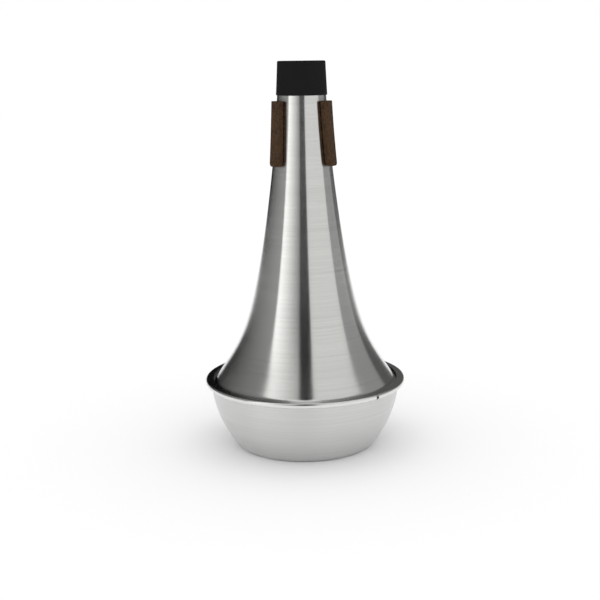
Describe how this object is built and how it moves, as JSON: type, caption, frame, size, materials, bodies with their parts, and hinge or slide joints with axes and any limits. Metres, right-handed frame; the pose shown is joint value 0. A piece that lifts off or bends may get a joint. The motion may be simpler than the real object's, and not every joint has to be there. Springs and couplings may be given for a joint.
{
  "type": "straight mute",
  "caption": "Open-tipped straight mute for a bass trombone: flared spun horn joined to a shallow bowl by a rolled rim, with a rubber tip cap and cork strips on the neck.",
  "frame": {"origin": "centre of the flat base, on the surface that the mute stands on", "axes": "+Z along the mute's axis from the base to the open tip; -Y is the side facing the camera and +X is on the viewer's right"},
  "size_m": [0.1608, 0.1608, 0.305],
  "materials": {
    "brushed_aluminium": "fine circumferential brushing, satin",
    "rolled_aluminium": "rolled, semi-bright",
    "black_rubber": "matt black",
    "brown_cork": "dark sanded cork, matt"
  },
  "bodies": {
    "root": {"horn_body": "brushed_aluminium", "bottom_bowl": "brushed_aluminium", "rim_band": "rolled_aluminium", "tip_cap": "black_rubber", "cork_strip_left": "brown_cork", "cork_strip_right": "brown_cork", "cork_strip_back": "brown_cork"}
  },
  "joints": []
}
